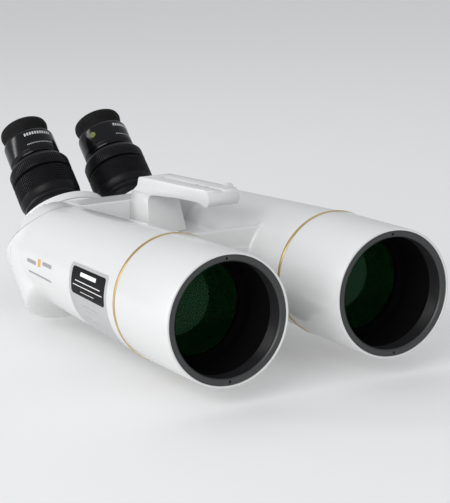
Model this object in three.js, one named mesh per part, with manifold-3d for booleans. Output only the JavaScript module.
import * as THREE from 'three';
import { ConvexGeometry } from 'three/addons/geometries/ConvexGeometry.js';
import { mergeVertices } from 'three/addons/utils/BufferGeometryUtils.js';
import Module from 'manifold-3d';

// Astronomy binoculars with two 70 mm objectives and eyepieces tilted up at 45 degrees.
// Millimetres, +X towards the right barrel, +Y back towards the eyepieces, +Z up.
// The origin is the centre of the underside of the mounting foot.
//
// Inside a barrel group, Y runs back from the front rim along the barrel axis.
// "Station" means a distance along the 45 degree eyepiece direction, counted from
// the centre of the front rim of the same barrel.

const wasm = await Module();
wasm.setup();

// ---------------------------------------------------------------- driving dimensions

const BARREL_SPACING = 136.6;
const AXIS_HEIGHT = 62;
const FRONT_RIM_Y = -168;
const GAP = 0.35;
const TILT = Math.PI / 4;

const SLEEVE = { radius: 48, bore: 43.8, mouth: 46.3, mouthDepth: 18, length: 80.6 };
const TRIM = { start: 80.9, end: 83.7, radius: 48.3 };
const TUBE = { start: 84, front: 47.6, rear: 40, taperEnd: 268, wall: 3.5 };
const SPIGOT = { radius: 43.4, bore: 40, start: 51 };
const HOUSING = { cross: 285, radius: 40, bottom: 164.5, dome: 12, seam: 212 };

const TURRET = { x: 40, cross: 320, face: 240, radius: 38.8, thickness: 7.2, hub: 28.2 };
const EYE_OFFSET = { inward: 4.5, down: 15 };

// stations along an eyepiece axis
const EYE = {
  base: 248.3, ringStart: 273, ringEnd: 297.3, clampStart: 299.3, clampEnd: 313.5,
  bodyStart: 316.4, bodyShoulder: 336.7, bodyNeck: 340.7, bodyEnd: 346.2, cupEnd: 353.2,
};
const RADII = { ring: 26.7, clamp: 26.7, body: 22.3, neck: 16.8, nose: 15.85, cup: 21 };

// the bridge is a tray: a front wall, a floor the handle stands on, a raised block behind
const BRIDGE = { front: 133, rear: 256, halfWidth: 58, top: 33, floor: 17, bottom: -28, wall: 6 };
const BLOCK = { rear: 282, halfWidth: 36, top: 40, bottom: -12 };
const POCKET = { halfWidth: 15, length: 42, roof: 9 };

const HANDLE = {
  halfWidth: 13.3, footHalfWidth: 16.5, flareTop: 50,
  noseY: 131.8, topFront: 65.3, kneeY: 235.8, topRear: 61.2, noseRadius: 6, rear: 255.6,
};
const SLOT = { width: 4, depth: 2.2, from: 117, to: 228 };
const THUMB_SCREW = { y: 149, z: 61, shank: 2.1, headRadius: 4.8, headLength: 5.6 };
const HANDLE_SCREWS_Y = [227, 241];
const HANDLE_SCREW_REACH = 9;

const FOOT = {
  width: 66, length: 112, plate: 9, columnWidth: 46, columnLength: 74, counterbore: 12.6, chamfer: 2.5,
};
const FOOT_SCREWS = [[-13, 152], [13, 152], [-13, 184], [13, 184]];
const THREADS = [{ radius: 4.6, offset: -34 }, { radius: 3, offset: 34 }];
const SCREW = { shank: 2.5, hole: 2.9, head: 4.2, headHole: 4.7, headHeight: 4.5, socket: 1.9 };

// small parts inside the barrel, as distances back from the front rim
const LENS = { radius: 37, crownBack: 53.3, crownFront: 50.3, flintBack: 62, flintFront: 53.8, sag: 4 };
const STOP = { y: 140, hole: 27, thickness: 1.6 };

// right-angle section of the roof prism: entry and exit faces meet at its top edge
const ROOF = { entryY: 250, topZ: 30, face: 46, halfWidth: 16, ridge: 7, cheek: 3 };

// cover between the round seam and the round turret seat, and the ring part way between them
const CAP = { middle: 0.42, middleRise: 15, middleStation: 227, seatRadius: 39.3, seatStation: 236 };

const MANY = 26;
const SOME = 18;
const FEW = 12;

// ---------------------------------------------------------------- materials

const finish = (color, roughness, metalness) => ({ color, roughness, metalness });
const WHITE_PAINT = finish(0xf0f1f0, 0.3, 0.05);
const BLACK_ANODISED = finish(0x17181a, 0.45, 0.5);
const BLACK_MATT = finish(0x0c0c0d, 0.85, 0.1);
const GOLD = finish(0xc9a85f, 0.3, 0.9);
const CHROME = finish(0xd4d6d8, 0.15, 1.0);
const STEEL = finish(0x8d9094, 0.35, 0.9);
const RUBBER = finish(0x151515, 0.9, 0.0);
const GLASS = finish(0x28483a, 0.08, 0.1);
const ALUMINIUM = finish(0x9a9da1, 0.45, 0.8);

const group = new THREE.Group();
group.name = 'astronomy_binoculars';

// ---------------------------------------------------------------- shape helpers

function piece(parent, name, geometry, look) {
  const mesh = new THREE.Mesh(geometry, new THREE.MeshStandardMaterial(look));
  mesh.name = name;
  parent.add(mesh);
  return mesh;
}

// Solid of revolution about Y from a closed outline of [radius, y] points.
function revolve(outline, segments) {
  const points = outline.map(([r, y]) => new THREE.Vector2(r, y));
  const area = THREE.ShapeUtils.area(points);
  if (area < 0) points.reverse();
  const touchesAxis = points.some((p) => p.x === 0);
  if (touchesAxis) {
    while (!(points[0].x === 0 && points[points.length - 1].x === 0)) points.push(points.shift());
  } else {
    points.push(points[0].clone());
  }
  return closed(new THREE.LatheGeometry(points, segments));
}

// Half outline of a lens surface from the edge to the axis; sag > 0 bulges towards +y.
function lensSurface(radius, [edgeY, sag], steps) {
  return Array.from({ length: steps + 1 }, (_, i) => {
    const r = radius * (1 - i / steps);
    return [r, edgeY + sag * (1 - (r / radius) ** 2)];
  });
}

// Lens between a front and a back surface, each given as [y at the edge, sag].
function lens(radius, front, back, segments, steps = 3) {
  return revolve([
    ...lensSurface(radius, back, steps), ...lensSurface(radius, front, steps).reverse(),
  ], segments);
}

function rod(radius, from, to, segments = FEW) {
  return revolve([[0, from], [radius, from], [radius, to], [0, to]], segments);
}

function ring(outer, inner, from, to, segments = SOME) {
  return revolve([[inner, from], [outer, from], [outer, to], [inner, to]], segments);
}

function block(x, y, z) {
  const size = [x[1] - x[0], y[1] - y[0], z[1] - z[0]];
  const box = new THREE.BoxGeometry(...size);
  return closed(box.translate((x[0] + x[1]) / 2, (y[0] + y[1]) / 2, (z[0] + z[1]) / 2));
}

// Extrusion along X of an outline drawn in the Y-Z plane, centred on x = 0.
function extrudeAlongX(shape, halfWidth, curveSegments = 6) {
  const depth = 2 * halfWidth;
  const solid = new THREE.ExtrudeGeometry(shape, { depth, bevelEnabled: false, curveSegments });
  solid.translate(0, 0, -halfWidth);
  solid.applyMatrix4(new THREE.Matrix4().makeBasis(
    new THREE.Vector3(0, 1, 0), new THREE.Vector3(0, 0, 1), new THREE.Vector3(1, 0, 0)));
  return closed(solid);
}

function polygon(points) {
  return new THREE.Shape(points.map(([a, b]) => new THREE.Vector2(a, b)));
}

// One watertight shell: shared corners welded and triangles without area removed.
function closed(geometry) {
  geometry.deleteAttribute('normal');
  geometry.deleteAttribute('uv');
  const welded = mergeVertices(geometry, 1e-4);
  const index = Array.from(welded.index.array);
  const kept = [];
  for (let i = 0; i < index.length; i += 3) {
    const [a, b, c] = index.slice(i, i + 3);
    if (a !== b && b !== c && c !== a) kept.push(a, b, c);
  }
  welded.setIndex(kept);
  welded.computeVertexNormals();
  return welded;
}

const toSolid = (geometry) => new wasm.Manifold(new wasm.Mesh({
  numProp: 3,
  vertProperties: new Float32Array(geometry.attributes.position.array),
  triVerts: new Uint32Array(geometry.index.array),
}));

function toGeometry(solid) {
  const mesh = solid.getMesh();
  const geometry = new THREE.BufferGeometry();
  geometry.setAttribute('position', new THREE.BufferAttribute(new Float32Array(mesh.vertProperties), 3));
  geometry.setIndex(Array.from(mesh.triVerts));
  geometry.computeVertexNormals();
  return geometry;
}

function cut(body, ...tools) {
  return toGeometry(tools.reduce((solid, tool) => solid.subtract(toSolid(tool)), toSolid(body)));
}

function join(body, ...others) {
  return toGeometry(others.reduce((solid, other) => solid.add(toSolid(other)), toSolid(body)));
}

function common(body, other) {
  return toGeometry(toSolid(body).intersect(toSolid(other)));
}

// Turns a shape built along Y onto the 45 degree eyepiece direction. Its y = 0 lands on the
// given station of the line that crosses the barrel axis height at distance `cross`.
function tilted(geometry, x, cross, station) {
  const lift = (station - cross * Math.cos(TILT)) * Math.cos(TILT);
  return geometry.rotateX(TILT).translate(x, cross + lift, lift);
}

// ---------------------------------------------------------------- barrel and prism housing

const tubeRadius = (y) => TUBE.front
  + ((TUBE.rear - TUBE.front) * (Math.min(y, TUBE.taperEnd) - TUBE.start)) / (TUBE.taperEnd - TUBE.start);

// Tapered tube with the tilted housing, grown by `extra` when used to cut a neighbour.
function barrelOuter(extra = 0) {
  const tube = revolve([
    [0, TUBE.start], [TUBE.front + extra, TUBE.start],
    [TUBE.rear + extra, TUBE.taperEnd], [TUBE.rear + extra, HOUSING.cross], [0, HOUSING.cross],
  ], MANY);
  const r = HOUSING.radius + extra;
  const dome = Array.from({ length: 6 }, (_, i) => {
    const angle = ((i / 5) * Math.PI) / 2;
    return [r * Math.sin(angle), HOUSING.bottom - extra - HOUSING.dome * Math.cos(angle)];
  });
  const housing = revolve([...dome, [r, HOUSING.seam + 20], [0, HOUSING.seam + 20]], MANY);
  return join(tube, tilted(housing, 0, HOUSING.cross, 0));
}

function aboveStation(station) {
  const size = 260;
  return tilted(block([-size, size], [0, size], [-size, size]), 0, HOUSING.cross, station);
}

// Hollow of the tube and housing, made smaller by `inset` to trim what sits inside it.
function barrelInside(inset = 0) {
  const wall = TUBE.wall + inset;
  const bore = revolve([
    [0, SPIGOT.start - 1], [SPIGOT.bore - inset, SPIGOT.start - 1], [SPIGOT.bore - inset, TUBE.start + 6],
    [tubeRadius(TUBE.start + 10) - wall, TUBE.start + 10],
    [TUBE.rear - wall, TUBE.taperEnd], [TUBE.rear - wall, HOUSING.cross - 6], [0, HOUSING.cross - 6],
  ], SOME);
  const well = rod(HOUSING.radius - wall, HOUSING.bottom + 2 + inset, HOUSING.seam + 5, SOME);
  return join(bore, tilted(well, 0, HOUSING.cross, 0));
}

function barrelCasting() {
  const outer = join(
    cut(barrelOuter(), aboveStation(HOUSING.seam)),
    revolve([[0, SPIGOT.start], [SPIGOT.radius, SPIGOT.start],
      [SPIGOT.radius, TUBE.start + 1], [0, TUBE.start + 1]], MANY),
  );
  return cut(outer, barrelInside());
}

// Cover over the housing: blends from the round seam to the round turret seat further in.
function capShell(side, inset) {
  const inward = BARREL_SPACING / 2 - TURRET.x;
  const middle = { x: CAP.middle * inward, cross: HOUSING.cross + CAP.middleRise };
  const seat = { x: inward, cross: TURRET.cross, radius: CAP.seatRadius - inset };
  const rings = [
    { x: 0, cross: HOUSING.cross, radius: HOUSING.radius - inset, station: HOUSING.seam + GAP },
    { ...middle, radius: HOUSING.radius - 1 - inset, station: CAP.middleStation },
    { ...seat, station: CAP.seatStation },
    { ...seat, station: TURRET.face - inset },
  ];
  const points = rings.flatMap(({ x, cross, radius, station }) => {
    const hoop = Array.from({ length: SOME }, (_, i) => {
      const a = (i / SOME) * 2 * Math.PI;
      return new THREE.Vector3(radius * Math.cos(a), 0, radius * Math.sin(a));
    });
    const placed = tilted(new THREE.BufferGeometry().setFromPoints(hoop), -side * x, cross, station);
    const p = placed.attributes.position;
    return hoop.map((_, i) => new THREE.Vector3().fromBufferAttribute(p, i));
  });
  return closed(new ConvexGeometry(points));
}

function rearCap(side) {
  const inner = capShell(side, TUBE.wall);
  const mouth = rod(HOUSING.radius - TUBE.wall, HOUSING.seam - 1, HOUSING.seam + 3, SOME);
  const seat = rod(TURRET.hub + 0.6, TURRET.face - 7.5, TURRET.face + 5, MANY);
  const inward = BARREL_SPACING / 2 - TURRET.x;
  return cut(
    capShell(side, 0), inner,
    tilted(mouth, 0, HOUSING.cross, 0),
    tilted(seat, -side * inward, TURRET.cross, 0),
  );
}

function addBarrel(side, label) {
  const barrel = new THREE.Group();
  barrel.name = `${label}_barrel_group`;
  barrel.position.set((side * BARREL_SPACING) / 2, FRONT_RIM_Y, AXIS_HEIGHT);
  group.add(barrel);
  piece(barrel, `${label}_barrel_casting`, barrelCasting(), WHITE_PAINT);
  piece(barrel, `${label}_rear_cap`, rearCap(side), WHITE_PAINT);
  addFrontEnd(barrel, label);
  addInnerOptics(barrel, side, label);
  addTurret(barrel, side, label);
}

// ---------------------------------------------------------------- objective end

function frontRing() {
  const body = revolve([
    [46, 0.6], [46, 15.6], [42.4, 15.6], [41.4, 10], [41.4, 1.6], [42.4, 0.6],
  ], MANY);
  const holes = [1, -1].map((up) => rod(0.9, 0, 3, 8).translate(0, 0, up * 43.8));
  return cut(body, ...holes);
}

function addFrontEnd(barrel, label) {
  const sleeve = revolve([
    [SLEEVE.mouth, 0.6], [SLEEVE.mouth + 0.7, 0], [SLEEVE.radius - 0.5, 0], [SLEEVE.radius, 0.6],
    [SLEEVE.radius, SLEEVE.length], [SLEEVE.bore, SLEEVE.length],
    [SLEEVE.bore, SLEEVE.mouthDepth], [SLEEVE.mouth, SLEEVE.mouthDepth],
  ], MANY);
  piece(barrel, `${label}_front_sleeve`, sleeve, WHITE_PAINT);
  piece(barrel, `${label}_front_ring`, frontRing(), BLACK_ANODISED);
  piece(barrel, `${label}_gold_trim_ring`, ring(TRIM.radius, SLEEVE.bore, TRIM.start, TRIM.end, MANY), GOLD);

  const cell = revolve([
    [35.5, 46], [43.3, 46], [43.3, 50.6], [39.6, 50.6], [39.6, 66], [37.3, 66], [37.3, 50], [35.5, 50],
  ], SOME);
  piece(barrel, `${label}_objective_cell`, cell, BLACK_MATT);
  const { radius, crownBack, crownFront, flintBack, flintFront, sag } = LENS;
  const crown = lens(radius, [crownFront, -sag], [crownBack, sag], SOME);
  piece(barrel, `${label}_front_objective_lens`, crown, GLASS);
  const flint = lens(radius, [flintFront, sag], [flintBack, -0.6], SOME);
  piece(barrel, `${label}_rear_objective_lens`, flint, GLASS);
  const retainer = ring(radius, radius - 3, flintBack + 0.4, flintBack + 3.4);
  piece(barrel, `${label}_lens_retaining_ring`, retainer, BLACK_ANODISED);
  const stopRadius = tubeRadius(STOP.y) - TUBE.wall - 0.5;
  const stop = ring(stopRadius, STOP.hole, STOP.y, STOP.y + STOP.thickness);
  piece(barrel, `${label}_tube_baffle`, stop, BLACK_MATT);
}

// ---------------------------------------------------------------- prisms

// Side view of the roof prism that turns the light up by 45 degrees, grown by `grow`.
function roofPrismOutline(grow) {
  const s = Math.SQRT1_2;
  const { entryY, topZ, face } = ROOF;
  return [
    [entryY - grow, topZ + 2.4 * grow],
    [entryY + face * s + grow, topZ - face * s + 0.4 * grow],
    [entryY - grow, topZ - face - 1.5 * grow],
  ];
}

function roofPrism() {
  const [top, back, low] = roofPrismOutline(0);
  const w = ROOF.halfWidth;
  const corners = [top, back, low].flatMap(([y, z]) => [-w, w].map((x) => new THREE.Vector3(x, y, z)));
  const out = new THREE.Vector2(low[1] - back[1], back[0] - low[0]).normalize().multiplyScalar(ROOF.ridge);
  const ridge = [0.15, 0.85].map((t) => new THREE.Vector3(
    0, THREE.MathUtils.lerp(low[0], back[0], t) - out.x, THREE.MathUtils.lerp(low[1], back[1], t) - out.y));
  return closed(new ConvexGeometry([...corners, ...ridge]));
}

// Two cheeks joined by a strap above the top edge of the prism.
function prismCage() {
  const outline = polygon(roofPrismOutline(ROOF.cheek));
  const outer = extrudeAlongX(outline, ROOF.halfWidth + ROOF.cheek);
  const space = extrudeAlongX(polygon(roofPrismOutline(8)), ROOF.halfWidth + GAP);
  const keepTop = block([-40, 40], [200, 330], [-60, ROOF.topZ + 1.5]);
  return common(cut(outer, common(space, keepTop)), barrelInside(GAP));
}

// Four-sided prism that shifts the light sideways by `shift` without turning it.
function shiftPrism(shift, aperture, thickness) {
  const h = aperture / 2;
  const outline = polygon([[-h, 0], [h, 0], [shift + h, thickness], [shift - h, thickness]]);
  const solid = new THREE.ExtrudeGeometry(outline, { depth: aperture, bevelEnabled: false });
  return closed(solid.translate(0, 0, -h));
}

function addInnerOptics(barrel, side, label) {
  piece(barrel, `${label}_roof_prism`, roofPrism(), GLASS);
  piece(barrel, `${label}_prism_cage`, prismCage(), ALUMINIUM);
  const inward = BARREL_SPACING / 2 - TURRET.x;
  const down = (TURRET.cross - HOUSING.cross) * Math.SQRT1_2;
  const shift = Math.hypot(inward, down);
  const turn = Math.atan2(down, -side * inward);
  const prism = shiftPrism(shift, 12, 13).rotateY(turn);
  piece(barrel, `${label}_transfer_prism`, tilted(prism, 0, HOUSING.cross, HOUSING.seam + 1.5), GLASS);
}

// ---------------------------------------------------------------- turret and eyepiece

// Ring with straight flutes around its rim, trimmed to the given outline of revolution.
function knurledRing(outline, radius, flutes, depth) {
  const star = polygon(Array.from({ length: 2 * flutes }, (_, i) => {
    const a = (i / (2 * flutes)) * 2 * Math.PI;
    const r = i % 2 ? radius - depth : radius;
    return [r * Math.cos(a), r * Math.sin(a)];
  }));
  const ys = outline.map((p) => p[1]);
  const low = Math.min(...ys) - 1;
  const bar = new THREE.ExtrudeGeometry(star, { depth: Math.max(...ys) + 1 - low, bevelEnabled: false });
  bar.rotateX(-Math.PI / 2).translate(0, low, 0);
  return common(revolve(outline, SOME), closed(bar));
}

function addTurret(barrel, side, label) {
  const inward = BARREL_SPACING / 2 - TURRET.x;
  const lift = (TURRET.face - TURRET.cross * Math.SQRT1_2) * Math.SQRT1_2;
  const turret = new THREE.Group();
  turret.name = `${label}_turret_group`;
  turret.position.set(-side * inward, TURRET.cross + lift, lift);
  turret.rotation.x = TILT;
  barrel.add(turret);

  const { radius, thickness, hub } = TURRET;
  const low = 0.7;
  const plate = revolve([
    [0, 5], [hub - 3, 5], [hub - 3, -7], [hub, -7], [hub, low], [radius, low],
    [radius, low + thickness - 1.6], [radius - 1.6, low + thickness], [0, low + thickness],
  ], MANY);
  const eye = new THREE.Vector3(-side * EYE_OFFSET.inward, 0, -EYE_OFFSET.down);
  const window = rod(13, 3, 10, FEW).translate(eye.x, 0, eye.z);
  piece(turret, `${label}_turret_plate`, cut(plate, window), WHITE_PAINT);

  const shift = Math.hypot(eye.x, eye.z);
  const prism = shiftPrism(shift, 15, 14).rotateY(-Math.atan2(eye.z, eye.x)).translate(0, -9.6, 0);
  piece(turret, `${label}_turret_prism`, prism, GLASS);

  const eyepiece = new THREE.Group();
  eyepiece.name = `${label}_eyepiece_group`;
  eyepiece.position.set(eye.x, -TURRET.face, eye.z);
  turret.add(eyepiece);
  addFocuser(eyepiece, label);
  addEyepiece(eyepiece, label);
}

function addFocuser(eyepiece, label) {
  const base = revolve([
    [19.4, EYE.base], [24, EYE.base], [24, EYE.base + 4], [22.2, EYE.base + 6],
    [22.2, 268], [24.6, 270], [24.6, EYE.ringStart - GAP], [22.2, EYE.ringStart - GAP],
    [22.2, EYE.ringEnd - 1], [19.4, EYE.ringEnd - 1],
  ], SOME);
  piece(eyepiece, `${label}_focuser_base`, base, BLACK_ANODISED);

  const r = RADII.ring;
  const focusRing = knurledRing([
    [22.9, EYE.ringStart], [24.4, EYE.ringStart], [25.4, 275], [r, 279], [r, EYE.ringEnd - 0.8],
    [r - 0.8, EYE.ringEnd], [22.9, EYE.ringEnd],
  ], r, SOME, 0.7);
  piece(eyepiece, `${label}_focus_ring`, focusRing, BLACK_ANODISED);

  const holder = ring(19, 16.2, 258, EYE.clampEnd - 0.8);
  piece(eyepiece, `${label}_eyepiece_holder`, holder, BLACK_ANODISED);

  const c = RADII.clamp;
  const clampRing = knurledRing([
    [19.4, EYE.clampStart], [c - 0.6, EYE.clampStart], [c, EYE.clampStart + 0.6], [c, 308.5],
    [c - 1.2, 310.8], [23.4, EYE.clampEnd], [19.4, EYE.clampEnd],
  ], c, SOME, 0.6);
  piece(eyepiece, `${label}_clamp_ring`, clampRing, BLACK_ANODISED);
}

function addEyepiece(eyepiece, label) {
  const body = revolve([
    [12.7, EYE.bodyStart], [21.2, EYE.bodyStart], [RADII.body, EYE.bodyStart + 1],
    [RADII.body, EYE.bodyShoulder], [20.6, EYE.bodyShoulder + 2.5], [RADII.neck, EYE.bodyNeck],
    [RADII.neck, EYE.bodyEnd], [13, EYE.bodyEnd], [12.7, EYE.bodyEnd - 6],
  ], SOME);
  piece(eyepiece, `${label}_eyepiece_body`, body, BLACK_ANODISED);
  piece(eyepiece, `${label}_eyepiece_nose`, ring(RADII.nose, 14.2, 284, EYE.bodyStart - 0.3, 24), CHROME);
  piece(eyepiece, `${label}_eye_lens`, lens(12.3, [340.8, -1.2], [344.2, 1], FEW, 2), GLASS);
  piece(eyepiece, `${label}_field_lens`, lens(13.8, [301, -1.5], [304, 1.5], FEW, 2), GLASS);

  const cup = revolve([
    [17.2, 341.4], [18.4, 341.4], [18.7, 343.7], [20.6, 347.7], [RADII.cup, 350.7], [20.4, EYE.cupEnd],
    [19.2, EYE.cupEnd], [14.6, 348.2], [14.2, 346.8], [17.2, 346.8],
  ], SOME);
  piece(eyepiece, `${label}_eyecup`, cup, RUBBER);
}

// ---------------------------------------------------------------- bridge, handle and foot

const centre = new THREE.Group();
centre.name = 'centre_group';
centre.position.set(0, FRONT_RIM_Y, AXIS_HEIGHT);
group.add(centre);

function neighbourBodies(extra) {
  return [-1, 1].flatMap((side) => {
    const x = (side * BARREL_SPACING) / 2;
    return [barrelOuter(extra).translate(x, 0, 0), capShell(side, -extra).translate(x, 0, 0)];
  });
}

function bridgeCasting() {
  const { front, rear, halfWidth, top, floor, bottom, wall } = BRIDGE;
  const bed = block([-halfWidth, halfWidth], [front, rear + 1], [bottom, floor]);
  const frontWall = block([-halfWidth, halfWidth], [front, front + wall], [floor - 1, top]);
  const raised = block([-BLOCK.halfWidth, BLOCK.halfWidth], [rear, BLOCK.rear], [BLOCK.bottom, BLOCK.top]);
  const pocketEnd = rear - wall;
  const pocket = block(
    [-POCKET.halfWidth, POCKET.halfWidth], [pocketEnd - POCKET.length, pocketEnd],
    [bottom - 1, floor - POCKET.roof]);
  const body = cut(join(bed, frontWall, raised), pocket, ...neighbourBodies(0.4));
  const handleHoles = HANDLE_SCREWS_Y.map((y) => upright(rod(SCREW.hole, bottom + 1, floor + 5), 0, y));
  const footHoles = FOOT_SCREWS.map(([x, y]) => upright(rod(SCREW.hole, bottom - 1, bottom + 17), x, y));
  return cut(body, ...handleHoles, ...footHoles);
}

// Stands a shape built along Y upright on Z at the given place.
function upright(geometry, x, y) {
  return geometry.rotateX(Math.PI / 2).translate(x, y, 0);
}

// Side view of the carrying handle: a leg at the back and a free bar reaching forward.
function handleOutline() {
  const { noseY, topFront, kneeY, topRear, noseRadius, rear } = HANDLE;
  const foot = BRIDGE.floor + GAP;
  const shape = new THREE.Shape();
  shape.moveTo(rear, foot);
  shape.lineTo(rear, 41);
  shape.quadraticCurveTo(rear, 46.2, 252.8, 48.1);
  shape.lineTo(244.8, 53.6);
  shape.quadraticCurveTo(242.8, 61, kneeY, topRear);
  shape.lineTo(noseY, topFront);
  shape.absarc(noseY, topFront - noseRadius, noseRadius, Math.PI / 2, (3 * Math.PI) / 2, false);
  shape.quadraticCurveTo(138.8, 53.4, 146.8, 54.6);
  shape.lineTo(178.8, 52.8);
  shape.lineTo(218.8, 49.2);
  shape.quadraticCurveTo(227.8, 48.2, 226.8, 41.6);
  shape.lineTo(218.5, foot);
  shape.closePath();
  return shape;
}

// Front view of the handle: straight sides that spread towards the foot of the leg.
function handleSides() {
  const { halfWidth, footHalfWidth, flareTop, rear } = HANDLE;
  const foot = BRIDGE.floor;
  const outline = polygon([
    [-footHalfWidth, foot], [footHalfWidth, foot], [halfWidth, flareTop], [halfWidth, flareTop + 30],
    [-halfWidth, flareTop + 30], [-halfWidth, flareTop],
  ]);
  const solid = new THREE.ExtrudeGeometry(outline, { depth: rear, bevelEnabled: false });
  return closed(solid.rotateX(Math.PI / 2).translate(0, rear + 1, 0));
}

function handleCasting() {
  const { footHalfWidth, halfWidth, noseY, topFront, kneeY, topRear } = HANDLE;
  const bar = common(extrudeAlongX(handleOutline(), footHalfWidth), handleSides());
  const slope = Math.atan2(topRear - topFront, kneeY - noseY);
  const slotSpan = [SLOT.from - noseY, SLOT.to - noseY];
  const slot = block([-SLOT.width / 2, SLOT.width / 2], slotSpan, [-SLOT.depth, 10]);
  slot.rotateX(slope).translate(0, noseY, topFront);
  const low = BRIDGE.floor - 1;
  const high = BRIDGE.floor + HANDLE_SCREW_REACH;
  const screwHoles = HANDLE_SCREWS_Y.map((y) => upright(rod(SCREW.hole, low, high), 0, y));
  const tapped = rod(THUMB_SCREW.shank + 0.3, 4, halfWidth + 2);
  tapped.rotateZ(-Math.PI / 2).translate(0, THUMB_SCREW.y, THUMB_SCREW.z);
  return cut(bar, closed(slot), ...screwHoles, tapped);
}

function thumbScrew() {
  const { shank, headRadius, headLength } = THUMB_SCREW;
  const face = HANDLE.halfWidth + GAP;
  const end = face + headLength;
  const outline = [
    [0, 5], [shank, 5], [shank, face], [headRadius, face],
    [headRadius, end - 0.6], [headRadius - 0.6, end], [0, end],
  ];
  return knurledRing(outline, headRadius, 10, 0.4).rotateZ(-Math.PI / 2);
}

// Socket-head screw along Y: the head sits below y = 0 and the shank runs up to `tip`.
function socketScrew(tip) {
  const { shank, head, headHeight, socket } = SCREW;
  const body = revolve([
    [0, -headHeight], [head, -headHeight], [head, 0], [shank, 0], [shank, tip], [0, tip],
  ], 16);
  return cut(body, rod(socket, -headHeight - 1, -headHeight + 2.4, 6));
}

function mountingFoot() {
  const low = -AXIS_HEIGHT;
  const high = BRIDGE.bottom - GAP;
  const midY = -FRONT_RIM_Y;
  const { width, length, plate, columnWidth, columnLength, counterbore, chamfer } = FOOT;
  const base = block([-width / 2, width / 2], [midY - length / 2, midY + length / 2], [low, low + plate]);
  const column = block(
    [-columnWidth / 2, columnWidth / 2], [midY - columnLength / 2, midY + columnLength / 2], [low + 1, high]);
  const stepHoles = FOOT_SCREWS.map(
    ([x, y]) => upright(rod(SCREW.headHole, low - 1, low + counterbore, 16), x, y));
  const shankHoles = FOOT_SCREWS.map(([x, y]) => upright(rod(SCREW.hole, low, high + 1), x, y));
  const tripodThreads = THREADS.map(
    ({ radius, offset }) => upright(rod(radius, low - 1, low + 16), 0, midY + offset));
  const trims = [-1, 1].map((s) => {
    const bar = block([-10, 10], [0, 400], [-10, 10]).rotateY(Math.PI / 4);
    const reach = Math.SQRT1_2 * 2 * 10 - chamfer;
    return closed(bar.translate(s * (width / 2 + reach), 0, low + plate + reach));
  });
  return cut(join(base, column), ...stepHoles, ...shankHoles, ...tripodThreads, ...trims);
}

piece(centre, 'bridge_casting', bridgeCasting(), WHITE_PAINT);
piece(centre, 'carrying_handle', handleCasting(), WHITE_PAINT);
const screw = piece(centre, 'finder_thumb_screw', thumbScrew(), WHITE_PAINT);
screw.position.set(0, THUMB_SCREW.y, THUMB_SCREW.z);
piece(centre, 'mounting_foot', mountingFoot(), BLACK_ANODISED);

HANDLE_SCREWS_Y.forEach((y, i) => {
  const bolt = piece(centre, `handle_screw_${i + 1}`, socketScrew(2 * HANDLE_SCREW_REACH - 1), STEEL);
  bolt.rotation.x = Math.PI / 2;
  bolt.position.set(0, y, BRIDGE.floor - HANDLE_SCREW_REACH);
});

FOOT_SCREWS.forEach(([x, y], i) => {
  const bolt = piece(centre, `foot_screw_${i + 1}`, socketScrew(36), STEEL);
  bolt.rotation.x = Math.PI / 2;
  bolt.position.set(x, y, -AXIS_HEIGHT + FOOT.counterbore - GAP);
});

addBarrel(-1, 'left');
addBarrel(1, 'right');

export default group;
